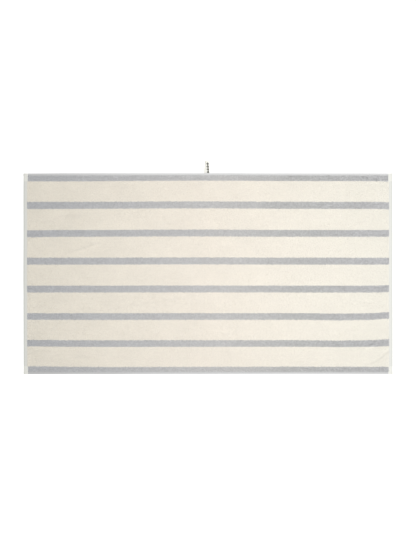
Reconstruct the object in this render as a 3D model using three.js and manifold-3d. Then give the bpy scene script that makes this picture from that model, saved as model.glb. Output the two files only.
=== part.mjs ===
// A bath sheet laid flat, face up, and the tape loop that hangs it.
//
// Millimetres. +X runs the long way, +Y across towards the side that has the loop, +Z up.
// The origin is the middle of the underside, which is flat and lies on z = 0.
//
// The sheet is one length of terry towelling. Its pile stands highest in the field, and drops to the
// flat hems: wide ones across both ends, narrow ones along both sides. The loop is a narrow tape folded
// end over end. Its two ends sit in a pocket inside the side hem, side by side.

import * as THREE from 'three';
import { mergeVertices } from 'three/addons/utils/BufferGeometryUtils.js';
import Module from 'manifold-3d';

// Driving dimensions
const towelLength = 1680;
const towelWidth = 914;
const pileTop = 5; // thickness of the terry field
const seamHeight = 2.4; // where the hem's seam pulls the cloth down
const cellSize = 34; // spacing of the field's facets

const tapeWidth = 13;
const tapeThickness = 1.1;
const loopReach = 60; // how far the loop stands past the edge
const foldHeight = 7.8; // between the tape's middle planes where it turns back
const clearance = 0.3; // between the tape and the cloth round it

// The cloth's thickness at each distance in from its edge: the turned edge, the flat hem,
// the seam that pulls it down, and the pile that rises behind it
const endProfile = [
  { inset: 0, height: 1.2 },
  { inset: 1.5, height: 2.9 },
  { inset: 13.5, height: 3.0 },
  { inset: 16, height: seamHeight },
  { inset: 20, height: 4.5 },
  { inset: 27, height: pileTop },
];
const sideProfile = [
  { inset: 0, height: 1.2 },
  { inset: 1.5, height: 2.7 },
  { inset: 7, height: 2.8 },
  { inset: 9, height: seamHeight },
  { inset: 13, height: 4.4 },
  { inset: 20, height: pileTop },
];

// How far each edge lies out from a true rectangle, at places along it
const loopSideEdge = [
  { along: -840, out: 1 },
  { along: -580, out: 2 },
  { along: -170, out: 0.5 },
  { along: 240, out: -1 },
  { along: 600, out: -1.5 },
  { along: 840, out: -1 },
];
const farSideEdge = [
  { along: -840, out: 1 },
  { along: -440, out: 0.7 },
  { along: 60, out: -0.3 },
  { along: 500, out: -1.1 },
  { along: 840, out: 0 },
];
const leftEndEdge = [
  { along: -457, out: -1.8 },
  { along: -270, out: -1 },
  { along: 0, out: 1.4 },
  { along: 300, out: 0 },
  { along: 457, out: -1.4 },
];
const rightEndEdge = [
  { along: -457, out: 0 },
  { along: -380, out: 1.2 },
  { along: -190, out: 0.4 },
  { along: 180, out: 0.4 },
  { along: 457, out: -1.6 },
];

// Soft rises and dips where the cloth doesn't lie quite flat: middle, heading of the long axis in
// degrees, half length, half width, and height at the middle
const swells = [
  { x: -560, y: 110, heading: 16, length: 150, width: 32, rise: -0.7 },
  { x: -140, y: -160, heading: 18, length: 170, width: 38, rise: -0.6 },
  { x: -300, y: 250, heading: -8, length: 260, width: 70, rise: 0.7 },
  { x: 330, y: 60, heading: 6, length: 300, width: 90, rise: 0.8 },
  { x: 80, y: -270, heading: 40, length: 70, width: 40, rise: -0.5 },
  { x: 500, y: 330, heading: 75, length: 110, width: 45, rise: -0.6 },
  { x: 600, y: -230, heading: -12, length: 240, width: 60, rise: 0.6 },
  { x: -620, y: -300, heading: 4, length: 200, width: 60, rise: 0.6 },
  { x: 772, y: -380, heading: 32, length: 62, width: 16, rise: -1.1 },
  { x: 756, y: -350, heading: 30, length: 60, width: 22, rise: 0.7 },
];

// The loop's two runs: where the middle of the tape lies at the hem and at the turn.
// The lower run lies on the surface; the upper one comes back over it and a little to the right.
const lowerRun = { atHem: -16.3, atTurn: -11.5 };
const upperRun = { atHem: -3, atTurn: -5.5 };
const driftStart = 8; // how far out from the edge the runs begin to lean towards each other
const pocketDepth = 7.5; // how far the tape's ends go into the hem
const tapeEndHeight = 1.9; // middle of the tape's thickness where it enters the hem
const hemLump = { x: -9.8, halfLength: 16, rise: 1 }; // the hem stands higher over the tape's ends
const lumpFade = 1.7; // how far out the lump ends, in half lengths
const turnSteps = 12;

// A piecewise straight curve through rows with named columns
function readTable(rows, from, to, value) {
  const last = rows.length - 1;
  if (value <= rows[0][from]) return rows[0][to];
  if (value >= rows[last][from]) return rows[last][to];
  const next = rows.findIndex((row) => row[from] > value);
  const [a, b] = [rows[next - 1], rows[next]];
  const share = (value - a[from]) / (b[from] - a[from]);
  return a[to] + share * (b[to] - a[to]);
}

function swellHeight(x, y) {
  let height = 0;
  for (const swell of swells) {
    const turn = THREE.MathUtils.degToRad(swell.heading);
    const [dx, dy] = [x - swell.x, y - swell.y];
    const along = (dx * Math.cos(turn) + dy * Math.sin(turn)) / swell.length;
    const across = (dy * Math.cos(turn) - dx * Math.sin(turn)) / swell.width;
    height += swell.rise * Math.exp(-along * along - across * across);
  }
  return height;
}

// Thickness of the cloth over a point of the true rectangle
function clothHeight(x, y) {
  const fromEnd = towelLength / 2 - Math.abs(x);
  const fromSide = towelWidth / 2 - Math.abs(y);
  const overEnd = readTable(endProfile, 'inset', 'height', fromEnd);
  const overSide = readTable(sideProfile, 'inset', 'height', fromSide);
  const base = Math.min(overEnd, overSide);
  const inField = THREE.MathUtils.smoothstep(base, seamHeight, pileTop);
  const offLump = Math.abs(x - hemLump.x) / hemLump.halfLength;
  const onHem = y > 0 && fromSide > 0 ? 1 - inField : 0;
  const lump = hemLump.rise * (1 - THREE.MathUtils.smoothstep(offLump, 1, lumpFade)) * onHem;
  return base + swellHeight(x, y) * inField + lump;
}

// Where a point of the true rectangle lies once the cloth is down
function laidPlace(x, y) {
  const shareX = x / (towelLength / 2);
  const shareY = y / (towelWidth / 2);
  const side = y > 0 ? loopSideEdge : farSideEdge;
  const end = x > 0 ? rightEndEdge : leftEndEdge;
  const outY = readTable(side, 'along', 'out', x);
  const outX = readTable(end, 'along', 'out', y);
  return [x + outX * shareX * Math.abs(shareX), y + outY * shareY * Math.abs(shareY)];
}

// Stations from one edge to the other: the edge profile's own insets, even cells between, and any extras
function stations(full, profile, extras) {
  const half = full / 2;
  const insets = profile.map((row) => row.inset);
  const field = half - insets[insets.length - 1];
  const cells = Math.round((2 * field) / cellSize);
  const found = insets.flatMap((inset) => [inset - half, half - inset]);
  for (let i = 1; i < cells; i += 1) {
    found.push(-field + (2 * field * i) / cells);
  }
  const kept = found.filter((at) => extras.every((extra) => Math.abs(at - extra) > 5));
  return [...kept, ...extras].sort((a, b) => a - b);
}

function solidFrom(wasm, positions, triangles) {
  const geometry = new THREE.BufferGeometry();
  geometry.setAttribute('position', new THREE.Float32BufferAttribute(positions, 3));
  geometry.setIndex(triangles);
  const merged = mergeVertices(geometry, 1e-4);
  return new wasm.Manifold(
    new wasm.Mesh({
      numProp: 3,
      vertProperties: new Float32Array(merged.getAttribute('position').array),
      triVerts: new Uint32Array(merged.getIndex().array),
    }),
  );
}

function geometryFrom(solid) {
  const mesh = solid.getMesh();
  const geometry = new THREE.BufferGeometry();
  geometry.setAttribute('position', new THREE.BufferAttribute(mesh.vertProperties, 3));
  geometry.setIndex(new THREE.BufferAttribute(mesh.triVerts, 1));
  geometry.computeVertexNormals();
  return geometry;
}

// The towel: a grid for the top, a low wall round it, and a flat underside
function towelSolid(wasm) {
  const { x: lumpMiddle, halfLength } = hemLump;
  const lumpStations = [-lumpFade, -1, 0, 1, lumpFade].map((share) => lumpMiddle + share * halfLength);
  const columns = stations(towelLength, endProfile, lumpStations);
  const rows = stations(towelWidth, sideProfile, []);
  const positions = [];
  const triangles = [];
  const topOf = (i, j) => i * rows.length + j;
  for (const x of columns) {
    for (const y of rows) {
      positions.push(...laidPlace(x, y), clothHeight(x, y));
    }
  }
  const [lastColumn, lastRow] = [columns.length - 1, rows.length - 1];
  for (let i = 0; i < lastColumn; i += 1) {
    for (let j = 0; j < lastRow; j += 1) {
      const [a, b, c, d] = [topOf(i, j), topOf(i + 1, j), topOf(i + 1, j + 1), topOf(i, j + 1)];
      triangles.push(a, b, c, a, c, d);
    }
  }
  const rim = [
    ...columns.map((_, i) => topOf(i, 0)),
    ...rows.slice(1).map((_, j) => topOf(lastColumn, j + 1)),
    ...columns.slice(1).map((_, i) => topOf(lastColumn - 1 - i, lastRow)),
    ...rows.slice(1, -1).map((_, j) => topOf(0, lastRow - 1 - j)),
  ];
  const middle = positions.length / 3;
  positions.push(0, 0, 0);
  for (const corner of rim) {
    positions.push(positions[3 * corner], positions[3 * corner + 1], 0);
  }
  rim.forEach((top, n) => {
    const next = (n + 1) % rim.length;
    const [low, nextLow] = [middle + 1 + n, middle + 1 + next];
    triangles.push(top, low, nextLow, top, nextLow, rim[next]);
    triangles.push(middle, nextLow, low);
  });
  return solidFrom(wasm, positions, triangles);
}

// The pocket between the hem's layers that takes both of the tape's ends
function pocketSolid(wasm) {
  const left = lowerRun.atHem - tapeWidth / 2 - clearance;
  const right = upperRun.atHem + tapeWidth / 2 + clearance;
  const height = tapeThickness + 2 * clearance;
  const depth = 2 * pocketDepth + 2 * clearance;
  const geometry = new THREE.BoxGeometry(right - left, depth, height);
  geometry.translate((left + right) / 2, towelWidth / 2, tapeEndHeight);
  geometry.deleteAttribute('normal');
  geometry.deleteAttribute('uv');
  const { array } = geometry.getAttribute('position');
  return solidFrom(wasm, Array.from(array), Array.from(geometry.getIndex().array));
}

// Middle line of the tape, from one end in the pocket, round the turn, to the other end.
// reach is the distance past the towel's edge; x is where the middle of the tape's width lies.
function tapeLine() {
  const flat = tapeThickness / 2;
  const radius = foldHeight / 2;
  const turnAt = loopReach - radius - flat;
  const lower = [
    { reach: -pocketDepth, z: tapeEndHeight },
    { reach: 1.5, z: tapeEndHeight },
    { reach: 4.5, z: 1.5 },
    { reach: 8, z: 0.85 },
    { reach: 12, z: flat },
    { reach: 24, z: flat },
    { reach: 38, z: flat },
    { reach: turnAt, z: flat },
  ];
  const upper = [
    { reach: turnAt, z: flat + foldHeight },
    { reach: 46, z: 8.2 },
    { reach: 36, z: 7.6 },
    { reach: 27, z: 6.6 },
    { reach: 19, z: 5.2 },
    { reach: 12, z: 3.7 },
    { reach: 6, z: 2.4 },
    { reach: 2, z: tapeEndHeight },
    { reach: -pocketDepth, z: tapeEndHeight },
  ];
  const driftOf = (run, reach) => {
    const share = THREE.MathUtils.smoothstep(reach, driftStart, turnAt);
    return THREE.MathUtils.lerp(run.atHem, run.atTurn, share);
  };
  const line = lower.map(({ reach, z }) => new THREE.Vector3(driftOf(lowerRun, reach), reach, z));
  for (let step = 1; step < turnSteps; step += 1) {
    const angle = (Math.PI * step) / turnSteps;
    const x = THREE.MathUtils.lerp(lowerRun.atTurn, upperRun.atTurn, step / turnSteps);
    const reach = turnAt + radius * Math.sin(angle);
    line.push(new THREE.Vector3(x, reach, flat + radius * (1 - Math.cos(angle))));
  }
  for (const { reach, z } of upper) {
    line.push(new THREE.Vector3(driftOf(upperRun, reach), reach, z));
  }
  for (const point of line) {
    point.y += towelWidth / 2;
  }
  return line;
}

// A flat tape along a line that bends only up and down: its width stays along X
function tapeGeometry(line) {
  const positions = [];
  const triangles = [];
  line.forEach((point, n) => {
    const before = line[Math.max(n - 1, 0)];
    const after = line[Math.min(n + 1, line.length - 1)];
    const run = new THREE.Vector2(after.y - before.y, after.z - before.z).normalize();
    const reach = tapeThickness / 2;
    for (const [side, face] of [[-1, -1], [1, -1], [1, 1], [-1, 1]]) {
      const x = point.x + (side * tapeWidth) / 2;
      positions.push(x, point.y - face * reach * run.y, point.z + face * reach * run.x);
    }
  });
  for (let n = 0; n < line.length - 1; n += 1) {
    for (let corner = 0; corner < 4; corner += 1) {
      const next = (corner + 1) % 4;
      const [a, b] = [4 * n + corner, 4 * n + next];
      triangles.push(a, b + 4, b, a, a + 4, b + 4);
    }
  }
  const end = 4 * (line.length - 1);
  triangles.push(0, 1, 2, 0, 2, 3, end, end + 2, end + 1, end, end + 3, end + 2);
  const geometry = new THREE.BufferGeometry();
  geometry.setAttribute('position', new THREE.Float32BufferAttribute(positions, 3));
  geometry.setIndex(triangles);
  geometry.computeVertexNormals();
  return geometry;
}

const wasm = await Module();
wasm.setup();

const terry = new THREE.MeshStandardMaterial({ color: 0xe4ddce, roughness: 1, metalness: 0 });
const towel = new THREE.Mesh(geometryFrom(towelSolid(wasm).subtract(pocketSolid(wasm))), terry);
towel.name = 'towel';

const wovenTape = new THREE.MeshStandardMaterial({ color: 0xf3f1e8, roughness: 0.9, metalness: 0 });
const hangingLoop = new THREE.Mesh(tapeGeometry(tapeLine()), wovenTape);
hangingLoop.name = 'hanging_loop';

const group = new THREE.Group();
group.add(towel, hangingLoop);

export default group;
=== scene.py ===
# %% [markdown]
# # A striped bath sheet, laid flat
#
# The real thing is one length of terry towelling. A terry loom weaves two sets of lengthwise yarns:
# a tight set that makes the ground cloth, and a slack set that is pushed up into loops, the pile, on
# both faces. Here the slack yarns come in cream and in grey, so the stripes run the long way. Both
# ends are woven flat, turned under and stitched; so are both long sides. A folded tape is caught in
# the middle of one long side, to hang the towel by.
#
# This file works in a maker's order: the cloth and its hems, the pile, the stitching, the tape. It
# starts by loading the plain solids that fix where everything lies and how big it is.

# %% Load the solids that everything is measured from
import math
from collections import namedtuple

import bpy
import numpy as np
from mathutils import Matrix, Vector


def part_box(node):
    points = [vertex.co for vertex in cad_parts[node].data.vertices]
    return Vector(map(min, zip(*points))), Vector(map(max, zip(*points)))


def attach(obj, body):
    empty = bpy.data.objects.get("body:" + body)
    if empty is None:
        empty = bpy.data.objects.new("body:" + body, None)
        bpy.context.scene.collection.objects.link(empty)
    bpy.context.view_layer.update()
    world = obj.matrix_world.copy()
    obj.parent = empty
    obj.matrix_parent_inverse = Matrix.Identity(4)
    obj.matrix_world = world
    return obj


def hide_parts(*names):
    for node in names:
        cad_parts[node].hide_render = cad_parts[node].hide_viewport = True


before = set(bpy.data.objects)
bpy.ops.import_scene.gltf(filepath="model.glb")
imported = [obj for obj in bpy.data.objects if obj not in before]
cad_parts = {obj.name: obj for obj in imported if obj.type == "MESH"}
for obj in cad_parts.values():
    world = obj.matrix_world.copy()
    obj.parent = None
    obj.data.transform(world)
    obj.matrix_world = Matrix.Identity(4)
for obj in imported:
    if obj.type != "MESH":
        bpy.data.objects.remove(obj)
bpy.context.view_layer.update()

MM = 0.001  # sizes below are in millimetres, and become metres as they go into a mesh
towel_low, towel_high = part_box("towel")
tape_low, tape_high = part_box("hanging_loop")
print("towel solid, mm:", [round(side / MM) for side in towel_high - towel_low])
print("tape solid, mm:", [round(side / MM) for side in tape_high - tape_low])

# %% [markdown]
# ## Camera, light and floor
# A towel that lies flat is seen whole from straight above, so the camera hangs level over it. A long
# lens from high up keeps its sides parallel. One soft lamp hangs over the right half and the room
# fills in the rest about equally, so the cloth is a little brighter on the right and the relief of
# the pile stays gentle. The plain view transform is used because it leaves the pale cotton pale.

# %% Camera
CAMERA_HEIGHT = 5.0
VIEW_HEIGHT = 2.444  # metres of floor that the view takes in from bottom to top
bpy.ops.object.camera_add(location=(0.0005, 0.0266, CAMERA_HEIGHT), rotation=(0, 0, 0))
camera = bpy.context.object
camera.name = "camera"
camera.data.lens = camera.data.sensor_width * CAMERA_HEIGHT / VIEW_HEIGHT
bpy.context.scene.camera = camera
bpy.context.scene.view_settings.view_transform = "Standard"
print("lens, mm:", round(camera.data.lens, 1))


# %% Helpers for colours and nodes
def linear(hex_code):
    """An sRGB colour written as #rrggbb, as the linear colour that shaders work in."""
    channels = [int(hex_code[i : i + 2], 16) / 255 for i in (1, 3, 5)]
    curved = [c / 12.92 if c <= 0.04045 else ((c + 0.055) / 1.055) ** 2.4 for c in channels]
    return (*curved, 1.0)


def set_inputs(node, inputs):
    """Give each input of a node a value, or wire it to an output or to another node."""
    for socket, value in inputs.items():
        if isinstance(value, bpy.types.Node):  # which stands for the first of its outputs in use
            value = next(output for output in value.outputs if output.enabled)
        if isinstance(value, bpy.types.NodeSocket):
            node.id_data.links.new(value, node.inputs[socket])
        else:
            node.inputs[socket].default_value = value


def add_node(tree, kind, inputs=None, **settings):
    """Add one node, set its own fields, then its inputs."""
    node = tree.nodes.new(kind)
    for field, value in settings.items():
        setattr(node, field, value)
    set_inputs(node, inputs or {})
    return node


def set_stops(ramp_node, stops, interpolation="LINEAR"):
    """Give a colour ramp its stops, as (place from 0 to 1, hex colour) rows."""
    ramp = ramp_node.color_ramp
    ramp.interpolation = interpolation
    while len(ramp.elements) > 1:
        ramp.elements.remove(ramp.elements[-1])
    ramp.elements[0].position = stops[0][0]
    ramp.elements[0].color = linear(stops[0][1])
    for place, colour in stops[1:]:
        ramp.elements.new(place).color = linear(colour)


def new_material(name, values):
    """A material with one Principled shader, whose uniform values are set on its own sockets."""
    material = bpy.data.materials.new(name)
    material.use_nodes = True
    tree = material.node_tree
    shader = tree.nodes["Principled BSDF"]
    set_inputs(shader, values)
    return material, tree, shader


def finish_material(tree, shader, colour, height, depth, strength=1.0):
    """Wire up a colour and a bump, whose depth is in millimetres."""
    inputs = {"Strength": strength, "Distance": depth * MM, "Height": height}
    bump = add_node(tree, "ShaderNodeBump", inputs)
    set_inputs(shader, {"Base Color": colour, "Normal": bump})


# %% Lamp, fill and floor
LAMP_POWER = 40.5
LAMP_SIZE = 1.4
FILL_STRENGTH = 0.68
bpy.ops.object.light_add(type="AREA", location=(0.5, 0, 2.2))
lamp = bpy.context.object
lamp.name = "soft_lamp"
lamp.data.shape = "SQUARE"
lamp.data.size = LAMP_SIZE
lamp.data.energy = LAMP_POWER

world = bpy.data.worlds.new("studio_fill")
world.use_nodes = True
fill = {"Color": linear("#ffffff"), "Strength": FILL_STRENGTH}
set_inputs(world.node_tree.nodes["Background"], fill)
bpy.context.scene.world = world

# The floor is a pale light table: a little light of its own keeps it white out to the corners
FLOOR_DROP = 0.2  # how far the floor lies below the cloth, so that no two faces coincide
FLOOR_SIZE = 120  # metres, so that its far edge shows only from low down, as a level horizon
bpy.ops.mesh.primitive_plane_add(size=FLOOR_SIZE, location=(0, 0, -FLOOR_DROP * MM))
floor = bpy.context.object
floor.name = "floor"
FLOOR_GLOW = 0.25
acrylic = {"Base Color": linear("#f8f8f8"), "Roughness": 0.8}
glow = {"Emission Color": linear("#ffffff"), "Emission Strength": FLOOR_GLOW}
pale, _, _ = new_material("pale_acrylic_sheet", {**acrylic, **glow})
floor.data.materials.append(pale)
print("lamp, W:", LAMP_POWER, "fill:", FILL_STRENGTH)

# %% [markdown]
# ## How the cloth lies
# Cloth that is spread by hand never lies quite true. Its edges bow in and out by a few millimetres,
# the stripes waver, here and there it rises or dips, and a few faint creases are left from its
# folding. It could be sculpted with brushes, but short tables can be read and changed: they hold that
# unevenness, and a few functions turn any place on the flat, cut cloth into its place as it lies.
# Everything on the towel goes through the same functions, so pile and stitches follow the cloth.

# %% The edges, the wavers and the swells, in millimetres
# place along the edge, how far it lies out from a true rectangle
LOOP_SIDE = [(-840, 0.8), (-600, 2.1), (-460, 2.3), (-82, 2.6), (90, 3.0), (230, 2.2)]
LOOP_SIDE += [(700, 1.9), (840, 1.5)]
FAR_SIDE = [(-840, 0.8), (-560, 0.5), (-446, 1.6), (-330, 0.9), (-80, 0.5), (90, 0.0)]
FAR_SIDE += [(350, -0.3), (600, -0.1), (840, 0.5)]
LEFT_END = [(-457, 0.0), (-250, 0.5), (-110, 0.9), (-20, 1.3), (200, 0.7), (350, 1.0), (457, 0.7)]
RIGHT_END = [(-457, 2.6), (-230, 2.6), (-20, 2.1), (180, 2.4), (350, 2.0), (457, 2.2)]
END_BOW = 1.4  # how far the solid itself stands out from the true rectangle, at its fullest
SIDE_BOW = 1.0

# places where the stripes drift across: middle, how far it reaches each way, and by how much
Waver = namedtuple("Waver", "x y reach_x reach_y shift")
WAVERS = [Waver(*row) for row in [
    (-60, 250, 300, 260, 2.0),
    (590, -240, 90, 130, -2.5),
    (810, -240, 40, 110, 5.5),
    (812, 420, 16, 16, -3.0),
    (-790, -400, 110, 110, 3.4),
    (825, -30, 30, 50, 3.0),
    (825, 310, 25, 70, -2.5),
    (-600, 424, 160, 60, -1.8),
    (-800, 170, 90, 60, -2.0),
]]

# soft rises and dips: middle, heading of the long axis, half length, half width, height
Swell = namedtuple("Swell", "x y heading length width rise")
SWELLS = [Swell(*row) for row in [
    (-300, 250, -8, 260, 70, 0.8),
    (330, 60, 6, 300, 90, 0.8),
    (500, 330, 75, 110, 40, -0.7),
    (600, -230, -12, 240, 60, 0.7),
    (-620, -300, 4, 200, 60, 0.7),
]]

# %% The creases, in millimetres
# Half width, how high the cloth stands on the left of it, as a share of its depth, and the line it
# follows, as rows of x, y and depth. The wide ones are where a hand has stroked the pile along a
# stripe, flat or, where the depth is below zero, up. The pile's colour turns the same depths into
# painted shade in a crease's trough and a painted highlight on its ridge; the wide ones it only makes
# darker, or lighter where the depth is below zero.
Crease = namedtuple("Crease", "width ridge line")
CREASES = [Crease(*row) for row in [
    (4.5, 0.4, [(-470, 145, 0), (-530, 133, 0.9), (-583, 113, 0.9), (-660, 90, 0)]),
    (5, 0.2, [(-700, 248, 0.1), (-674, 261, 0.4), (-606, 264, 0.45), (-500, 274, 0.2)]),
    (6, 0.3, [(-400, -154, 0), (-264, -133, 0.3), (-150, -115, 0.35), (-20, -94, 0.1)]),
    (6, 0.2, [(-815, -104, 0.3), (-740, -108, 0.15), (-640, -122, 0.35), (-600, -124, 0)]),
    (6, 0.3, [(-500, -380, 0.1), (-560, -378, 0.3), (-640, -380, 0)]),
    (7, 0.0, [(-440, -378, 0.2), (-360, -381, 0.3)]),
    (4.5, 0.25, [(700, -416, 0.2), (748, -407, 0.7), (776, -393, 0.9), (823, -355, 0.8)]),
    (5, 0.7, [(768, -300, 0.7), (752, -314, 1.5), (728, -331, 1.2)]),
    (4.5, 0.2, [(650, -436, 0.6), (690, -430, 1.2), (724, -424, 0.7)]),
    (6, 0.0, [(448, -438, 0.5), (590, -440, 0.5)]),
    (7, 0.3, [(76, -279, 0.55), (90, -279, 0.55)]),
    (15, 0.0, [(58, 109, 0.2), (90, 109, 0.2)]),
    (15, 0.0, [(228, 109, 0.15), (256, 109, 0.15)]),
    (6, 0.0, [(552, 439, 0.7), (590, 439, 0.7)]),
    (5, 0.8, [(704, 441, 1.2), (735, 437, 1.5), (775, 427, 1.3)]),
    (14, 0.0, [(668, 438, 0.4), (728, 438, 0.5)]),
    (15, 0.0, [(482, 311, -0.5), (542, 311, -0.5)]),
    (15, 0.0, [(760, 311, -0.7), (805, 311, -0.7)]),
    (15, 0.0, [(-520, 184, 0.3), (-450, 184, 0.2), (180, 184, 0.2)]),
    (15, 0.0, [(130, 58, -0.3), (350, 58, -0.4)]),
    (15, 0.0, [(670, 58, -0.4), (805, 58, -0.5)]),
    (15, 0.0, [(680, -69, 0.3), (805, -69, 0.4)]),
    (15, 0.0, [(575, -195, 0.4), (720, -195, 0.4)]),
    (15, 0.0, [(665, -318, 0.8), (735, -318, 0.6), (800, -318, 0.3)]),
    (14, 0.0, [(600, -438, 0.2), (725, -438, 0.6)]),
    (8, 0.3, [(630, 340, 0.3), (632, 378, 0.3)]),
]]

# %% The tape's lump, and the true size
# the hem stands a little higher where it covers the tape's two ends
TAPE_LUMP = {"x": -5.5, "half": 16.0, "fade": 11.0, "slope": 12.0, "rise": 1.2}

half_length = -towel_low.x / MM - END_BOW
half_width = -towel_low.y / MM - SIDE_BOW
print("true rectangle, mm:", round(2 * half_length, 1), "x", round(2 * half_width, 1))


# %% Functions that lay the cloth down
def smooth(share):
    """Ease from 0 to 1 with no kink at either end."""
    share = np.clip(share, 0, 1)
    return share * share * (3 - 2 * share)


def read_table(rows, at):
    """Read (place, value) rows at many places, easing from each row to the next."""
    places, values = np.array(rows, float).T
    row = np.clip(np.searchsorted(places, at, side="right") - 1, 0, len(places) - 2)
    share = (at - places[row]) / (places[row + 1] - places[row])
    return values[row] + (values[row + 1] - values[row]) * smooth(share)


def lay(x, y):
    """Move places on the true rectangle to where they lie."""
    share_x = x / half_length
    share_y = y / half_width
    out_y = np.where(y > 0, read_table(LOOP_SIDE, x), read_table(FAR_SIDE, x))
    out_x = np.where(x > 0, read_table(RIGHT_END, y), read_table(LEFT_END, y))
    drift = np.zeros_like(y)
    for w in WAVERS:
        drift += w.shift * np.exp(-(((x - w.x) / w.reach_x) ** 2) - ((y - w.y) / w.reach_y) ** 2)
    inside = 1 - share_y**24
    laid_x = x + out_x * share_x * abs(share_x)
    laid_y = y + out_y * share_y * abs(share_y) + drift * inside
    return laid_x, laid_y


# %% How high the swells and the creases stand
def swell_height(x, y):
    """How far the cloth's top stands above or below its usual height."""
    height = np.zeros_like(x)
    for s in SWELLS:
        turn = math.radians(s.heading)
        along = ((x - s.x) * math.cos(turn) + (y - s.y) * math.sin(turn)) / s.length
        across = ((y - s.y) * math.cos(turn) - (x - s.x) * math.sin(turn)) / s.width
        height += s.rise * np.exp(-(along**2) - across**2)
    return height


# how far to the left of a crease its ridge stands, and half the ridge's width, in the crease's own
RIDGE_PLACE = 2.2
RIDGE_WIDTH = 1.2


def crease_height(x, y):
    """How far the creases press the cloth's top down, or raise it beside themselves."""
    height = np.zeros_like(x)
    for crease in CREASES:
        nearest = np.full_like(x, np.inf)
        found = np.zeros_like(x)
        line = np.array(crease.line, float)
        for start, stop in zip(line, line[1:]):
            way_x, way_y, deeper = stop - start
            length = math.hypot(way_x, way_y)
            from_x = x - start[0]
            from_y = y - start[1]
            share = np.clip((from_x * way_x + from_y * way_y) / length**2, 0, 1)
            off = np.hypot(from_x - share * way_x, from_y - share * way_y) / crease.width
            side = np.sign(way_x * from_y - way_y * from_x)
            ridge = crease.ridge * np.exp(-(((side * off - RIDGE_PLACE) / RIDGE_WIDTH) ** 2))
            pressed = (start[2] + share * deeper) * (ridge - np.exp(-(off**2)))
            found = np.where(off < nearest, pressed, found)
            nearest = np.minimum(off, nearest)
        height += found
    return height


# %% [markdown]
# ## The cloth and its hems
# The ground cloth is one sheet. Its long sides are turned under first, then its ends, so a corner has
# four layers and everywhere else along the edge has two. The seam that holds a hem pinches the layers
# together a few millimetres in from the raw edge below.
#
# The sheet could be simulated, but a laid towel hardly drapes, and a simulation would lose the crisp
# turned edge. So a grid with close rows at every bend is put in place by a formula: each side of the
# cloth runs flat, goes round a half circle, and comes back underneath. Solidify then gives it body,
# thin in the hems and thick in the field, where the pile of the underside is pressed flat.

# %% Hem sizes, in millimetres
FIELD_THICKNESS = 2.4  # ground cloth and the pressed pile below it
LAYER_THICKNESS = 1.1  # the flat-woven cloth of the hems
LAYER_STEP = 1.3  # from the middle of one layer of a hem to the next
END_HEM = 16.3  # from the end's edge to the raw edge below
SIDE_HEM = 9.0
END_SEAM = 14.0  # from the edge to the stitches
SIDE_SEAM = 7.0
SEAM_SLOPE = 4.0  # how far in from the raw edge the cloth takes to come down to the surface
PINCH = 0.22  # how much of the layers' height the seam takes away
PINCH_REACH = 1.3

bend_inset = LAYER_THICKNESS / 2 + LAYER_STEP / 2  # from the edge to where the cloth starts to bend
bend_length = math.pi * LAYER_STEP / 2
end_bend = half_length - bend_inset
side_bend = half_width - bend_inset
end_hem_run = END_HEM - bend_inset
side_hem_run = SIDE_HEM - bend_inset
end_seam_run = END_SEAM - bend_inset
side_seam_run = SIDE_SEAM - bend_inset


# %% Functions that fold the cloth
def fold(flat, bend, hem_run):
    """Follow the cloth out to its two edges: the angle turned so far, the distance from the bend
    on either layer, and how much of a hem the place is in."""
    outward = np.abs(flat) - bend
    angle = np.clip(outward / bend_length, 0, 1) * math.pi
    run = np.maximum(-outward, 0) + np.maximum(outward - bend_length, 0)
    doubled = np.where(outward < 0, 1 - smooth((run - hem_run) / SEAM_SLOPE), 1.0)
    return angle, run, doubled


def pinched(run, seam_run):
    """How much of the layers' height is left near a seam."""
    return 1 - PINCH * np.exp(-(((run - seam_run) / PINCH_REACH) ** 2))


def lump_height(x, side_run):
    """How far the tape's ends lift the hem that lies over them."""
    beyond = np.abs(x - TAPE_LUMP["x"]) - TAPE_LUMP["half"]
    inwards = side_run - side_hem_run
    fade = (1 - smooth(beyond / TAPE_LUMP["fade"])) * (1 - smooth(inwards / TAPE_LUMP["slope"]))
    return TAPE_LUMP["rise"] * fade


# %% The place of any spot of the cloth
def cloth_at(u, v):
    """Where places on the flat cloth lie, in millimetres, and how thick the cloth is there."""
    end_angle, end_run, in_end = fold(u, end_bend, end_hem_run)
    side_angle, side_run, in_side = fold(v, side_bend, side_hem_run)
    in_hem = 1 - (1 - in_end) * (1 - in_side)
    thickness = FIELD_THICKNESS + (LAYER_THICKNESS - FIELD_THICKNESS) * in_hem
    side_radius = LAYER_STEP / 2 * in_side
    end_radius = LAYER_STEP / 2 * (1 + in_side) * in_end
    side_lift = side_radius * np.cos(side_angle)
    middle = thickness / 2 + end_radius + side_radius
    crowding = LAYER_STEP * in_side * in_end * (1 - smooth(end_run / end_hem_run))
    end_inset = bend_inset + end_run + crowding - (end_radius + side_lift) * np.sin(end_angle)
    side_inset = bend_inset + side_run - side_radius * np.sin(side_angle)
    true_x = np.sign(u) * (half_length - end_inset)
    true_y = np.sign(v) * (half_width - side_inset)
    left = pinched(end_run, end_seam_run) * pinched(side_run, side_seam_run)
    swell = (swell_height(true_x, true_y) + crease_height(true_x, true_y)) * (1 - in_hem)
    lump = np.where(v > 0, lump_height(true_x, side_run), 0)
    z = middle + left * np.cos(end_angle) * (end_radius + side_lift) + swell / 2 + lump
    x, y = lay(true_x, true_y)
    return x, y, z, thickness * left + swell


# %% Rows of the grid: close where the cloth bends, pinches or creases
COARSE = 11.0
FINE = 5.0
BESIDE_SEAM = 1.2
BESIDE_BEND = 2
BEND_STEPS = 6
BEYOND_HEM = (0, 1.5, 3.5)


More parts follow.
